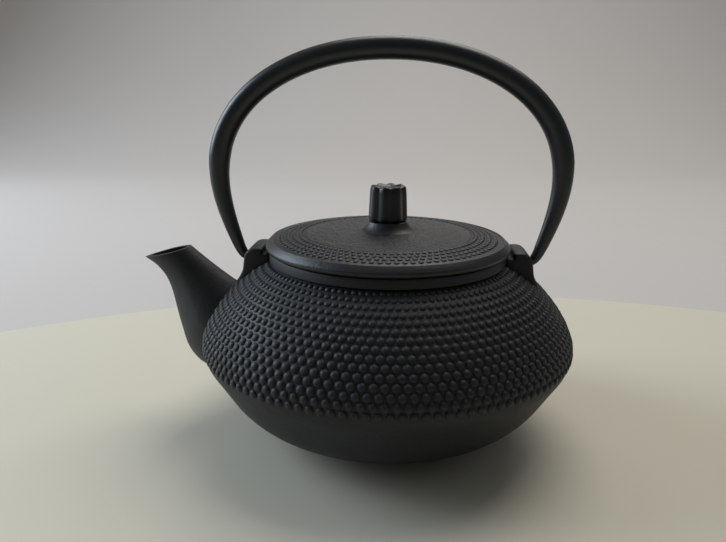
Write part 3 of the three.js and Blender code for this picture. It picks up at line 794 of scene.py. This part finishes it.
def spun_steel(name, base, roughness):
    """Bright stainless steel with the fine rings that spinning and polishing leave."""
    finish = bpy.data.materials.new(name)
    finish.use_nodes = True
    tree = finish.node_tree
    shader = tree.nodes["Principled BSDF"]
    place = node(tree, "ShaderNodeTexCoord").outputs["Object"]
    stretched = node(tree, "ShaderNodeMapping", {"Vector": place, "Scale": (40, 40, 5200)})
    rings = node(tree, "ShaderNodeTexNoise", {
        "Vector": stretched.outputs[0], "Scale": 1, "Detail": 3})
    stains = node(tree, "ShaderNodeTexNoise", {"Vector": place, "Scale": 90, "Detail": 5})
    tint = blended(tree, stains.outputs[0], base + (1,), tuple(c * 0.72 for c in base) + (1,))
    tree.links.new(tint, shader.inputs["Base Color"])
    tree.links.new(
        between_values(tree, rings.outputs[0], roughness - 0.06, roughness + 0.12),
        shader.inputs["Roughness"])
    bump = node(tree, "ShaderNodeBump", {
        "Height": rings.outputs[0], "Strength": 0.35, "Distance": 0.03 * MM})
    tree.links.new(bump.outputs[0], shader.inputs["Normal"])
    shader.inputs["Metallic"].default_value = 1
    return finish


steel = spun_steel("stainless_steel", (0.56, 0.565, 0.57), 0.24)
washer_radius = 5.6 * MM
washer_low = washer_top - 1 * MM
ease = 0.15 * MM
washer = turned("knob_washer", [
    (tang_bore + ease, washer_low), (washer_radius - ease, washer_low),
    (washer_radius, washer_low + ease), (washer_radius, washer_top - ease),
    (washer_radius - ease, washer_top), (tang_bore + ease, washer_top),
    (tang_bore, washer_top - ease), (tang_bore, washer_low + ease),
    (tang_bore + ease, washer_low)], steel, 96)
smooth(washer, 25)
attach(washer, "knob")
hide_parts("knob_washer")

# ---- The strainer ----
# A stainless steel cup that hangs on the ledge by its flange: a pressed rim, a wall and a floor
# of fine wire mesh, and a ring that crimps the two together at the bottom.

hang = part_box("strainer_rim")[1].z - 0.8 * MM
cup_radius = throat_radius - 1 * MM
sheet = 0.6 * MM
collar_inner = cup_radius - sheet
flange_radius = recess_radius - 0.6 * MM
rim = turned("strainer_rim", [
    (collar_inner + 0.15 * MM, hang - 4.5 * MM), (cup_radius - 0.15 * MM, hang - 4.5 * MM),
    (cup_radius, hang - 4.35 * MM), (cup_radius, hang - 0.3 * MM), (cup_radius + 0.3 * MM, hang),
    (flange_radius - 0.4 * MM, hang), (flange_radius, hang + 0.15 * MM),
    (flange_radius, hang + 0.6 * MM), (flange_radius - 0.3 * MM, hang + 0.8 * MM),
    (flange_radius - 0.8 * MM, hang + 0.7 * MM), (flange_radius - 1.3 * MM, hang + 0.5 * MM),
    (collar_inner + 1.2 * MM, hang + 0.5 * MM), (collar_inner + 0.5 * MM, hang + 0.35 * MM),
    (collar_inner + 0.1 * MM, hang - 0.1 * MM), (collar_inner, hang - 0.6 * MM),
    (collar_inner, hang - 4.35 * MM), (collar_inner + 0.15 * MM, hang - 4.5 * MM)], steel, 144)
smooth(rim, 35)
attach(rim, "strainer")
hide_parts("strainer_rim")

cup_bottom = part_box("strainer_base_ring")[0].z
lip_radius = collar_inner - 2 * MM
base_ring = turned("strainer_base_ring", [
    (lip_radius, cup_bottom), (cup_radius - 0.8 * MM, cup_bottom),
    (cup_radius - 0.2 * MM, cup_bottom + 0.2 * MM), (cup_radius, cup_bottom + 0.8 * MM),
    (cup_radius, cup_bottom + 2.0 * MM), (cup_radius - 0.15 * MM, cup_bottom + 2.25 * MM),
    (cup_radius, cup_bottom + 2.5 * MM), (cup_radius, cup_bottom + 4.35 * MM),
    (cup_radius - 0.15 * MM, cup_bottom + 4.5 * MM),
    (collar_inner + 0.15 * MM, cup_bottom + 4.5 * MM),
    (collar_inner, cup_bottom + 4.35 * MM), (collar_inner, cup_bottom + 1.0 * MM),
    (collar_inner - 0.4 * MM, cup_bottom + 0.6 * MM), (lip_radius, cup_bottom + 0.6 * MM),
    (lip_radius, cup_bottom)], steel, 144)
smooth(base_ring, 35)
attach(base_ring, "strainer")
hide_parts("strainer_base_ring")

wire_steel = spun_steel("stainless_mesh", (0.5, 0.505, 0.51), 0.3)
WIRE_GAP = 1.2 * MM
WIRE = 0.32 * MM
SEAM_GAP = 0.3 * MM
HALF_MESH = 0.25 * MM
mesh_radius = collar_inner - SEAM_GAP - HALF_MESH


def make_wire(piece):
    """Turns the edges of a net into wires."""
    make_active(piece)
    wires = piece.modifiers.new("wires", "WIREFRAME")
    wires.thickness = WIRE
    wires.use_even_offset = False
    wires.use_replace = True
    bpy.ops.object.modifier_apply(modifier=wires.name)
    piece.data.materials.append(wire_steel)


wall_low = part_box("strainer_wall")[0].z + WIRE / 2
wall_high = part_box("strainer_wall")[1].z - WIRE / 2
wall_rise = wall_high - wall_low
rows = round(wall_rise / WIRE_GAP)
mesh_wall = start_ring(
    "strainer_wall", round(2 * math.pi * mesh_radius / WIRE_GAP), mesh_radius, (0, 0, wall_low))
extrude_rings([(mesh_radius, wall_low + wall_rise * k / rows) for k in range(rows + 1)])
bpy.ops.object.mode_set(mode="OBJECT")
make_wire(mesh_wall)
smooth(mesh_wall, 60)
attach(mesh_wall, "strainer")
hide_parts("strainer_wall")

floor_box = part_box("strainer_floor")
cells = round(2 * mesh_radius / WIRE_GAP)
bpy.ops.object.select_all(action="DESELECT")
bpy.ops.mesh.primitive_grid_add(
    x_subdivisions=cells, y_subdivisions=cells, size=2 * mesh_radius,
    location=(0, 0, (floor_box[0].z + floor_box[1].z) / 2))
bpy.ops.object.transform_apply(location=True, rotation=True, scale=True)
mesh_floor = bpy.context.object
mesh_floor.name = "strainer_floor"
mesh_floor.data.name = "strainer_floor"
bpy.ops.object.mode_set(mode="EDIT")
bpy.ops.mesh.select_all(action="DESELECT")
bpy.ops.object.mode_set(mode="OBJECT")
for vertex in mesh_floor.data.vertices:
    vertex.select = math.hypot(vertex.co.x, vertex.co.y) > mesh_radius
bpy.ops.object.mode_set(mode="EDIT")
bpy.ops.mesh.delete(type="VERT")
bpy.ops.object.mode_set(mode="OBJECT")
make_wire(mesh_floor)
smooth(mesh_floor, 60)
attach(mesh_floor, "strainer")
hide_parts("strainer_floor")

# ---- Table, light and camera ----
# A round cream table top on a pale grey floor that curves up behind, lit by a broad window on the
# left, a soft ceiling, and the pale room itself.


def plain(name, low, high, roughness):
    """A plain pale surface with a very faint cloudiness."""
    finish = bpy.data.materials.new(name)
    finish.use_nodes = True
    tree = finish.node_tree
    place = node(tree, "ShaderNodeTexCoord").outputs["Object"]
    cloud = node(tree, "ShaderNodeTexNoise", {"Vector": place, "Scale": 3, "Detail": 3})
    shader = tree.nodes["Principled BSDF"]
    tree.links.new(
        blended(tree, cloud.outputs[0], low + (1,), high + (1,)), shader.inputs["Base Color"])
    shader.inputs["Roughness"].default_value = roughness
    return finish


TABLE_RADIUS = 444 * MM
TABLE_THICKNESS = 8 * MM
bpy.ops.object.select_all(action="DESELECT")
bpy.ops.mesh.primitive_cylinder_add(
    vertices=256, radius=TABLE_RADIUS, depth=TABLE_THICKNESS,
    location=(58 * MM, -273 * MM, -TABLE_THICKNESS / 2))
bpy.ops.object.transform_apply(location=True, rotation=True, scale=True)
table_top = bpy.context.object
table_top.name = "table_top"
table_edge = table_top.modifiers.new("edge", "BEVEL")
table_edge.width = 2 * MM
table_edge.segments = 4
bpy.ops.object.modifier_apply(modifier=table_edge.name)
table_top.data.materials.append(plain("cream", (0.66, 0.625, 0.5), (0.7, 0.665, 0.535), 0.6))
smooth(table_top)
table_top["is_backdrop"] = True

bpy.ops.object.select_all(action="DESELECT")
bpy.ops.mesh.primitive_plane_add(size=6, location=(0, -2.2, -TABLE_THICKNESS))
bpy.ops.object.transform_apply(location=True, rotation=True, scale=True)
room = bpy.context.object
room.name = "room"
bpy.ops.object.mode_set(mode="EDIT")
bpy.ops.mesh.select_all(action="DESELECT")
bpy.ops.object.mode_set(mode="OBJECT")
for vertex in room.data.vertices:
    vertex.select = vertex.co.y > 0
bpy.ops.object.mode_set(mode="EDIT")
COVE_STEPS = 16
COVE_STEP = 0.06
for step in range(COVE_STEPS):
    bend = math.radians(90) * (step + 0.5) / COVE_STEPS
    bpy.ops.mesh.extrude_region_move(TRANSFORM_OT_translate={
        "value": (0, COVE_STEP * math.cos(bend), COVE_STEP * math.sin(bend))})
bpy.ops.mesh.extrude_region_move(TRANSFORM_OT_translate={"value": (0, 0, 2)})
bpy.ops.object.mode_set(mode="OBJECT")
room.data.materials.append(plain("pale_wall", (0.58, 0.55, 0.515), (0.62, 0.59, 0.555), 0.85))
smooth(room)
room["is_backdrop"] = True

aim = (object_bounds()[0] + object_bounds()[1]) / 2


def soft_light(name, place, size, power, colour):
    """A broad square light turned to the pot."""
    light = bpy.data.lights.new(name, "AREA")
    light.size = size
    light.energy = power
    light.color = colour
    lamp = bpy.data.objects.new(name, light)
    lamp.location = place
    lamp.rotation_euler = (Vector(place) - aim).to_track_quat("Z", "Y").to_euler()
    bpy.context.scene.collection.objects.link(lamp)


soft_light("window", (-1.05, 0.22, 0.5), 0.7, 10, (0.74, 0.85, 1))
soft_light("ceiling", (0.25, 0.62, 1.25), 1.1, 11, (1, 0.97, 0.93))
bpy.context.scene.view_settings.view_transform = "Standard"

world = bpy.data.worlds.new("room_light")
bpy.context.scene.world = world
world.use_nodes = True
from_where = node(world.node_tree, "ShaderNodeTexCoord").outputs["Generated"]
apart = node(world.node_tree, "ShaderNodeSeparateXYZ", {0: from_where})
towards_back = maths(world.node_tree, "MULTIPLY_ADD", apart.outputs[1], 0.5, 0.5)
strength = between_values(world.node_tree, towards_back, 0.09, 0.34)
background = world.node_tree.nodes["Background"]
background.inputs["Color"].default_value = (0.86, 0.9, 0.95, 1)
world.node_tree.links.new(strength, background.inputs["Strength"])

camera = bpy.data.objects.new("camera", bpy.data.cameras.new("camera"))
bpy.context.scene.collection.objects.link(camera)
bpy.context.scene.camera = camera
camera.data.lens = 33
camera.data.clip_start = 0.01
camera.location = (6.5 * MM, -246.9 * MM, 129 * MM)
camera.rotation_euler = (
    Matrix.Rotation(math.radians(3.65), 3, "Z")
    @ Matrix.Rotation(math.radians(74.6), 3, "X")
    @ Matrix.Rotation(math.radians(0.35), 3, "Z")
).to_euler()
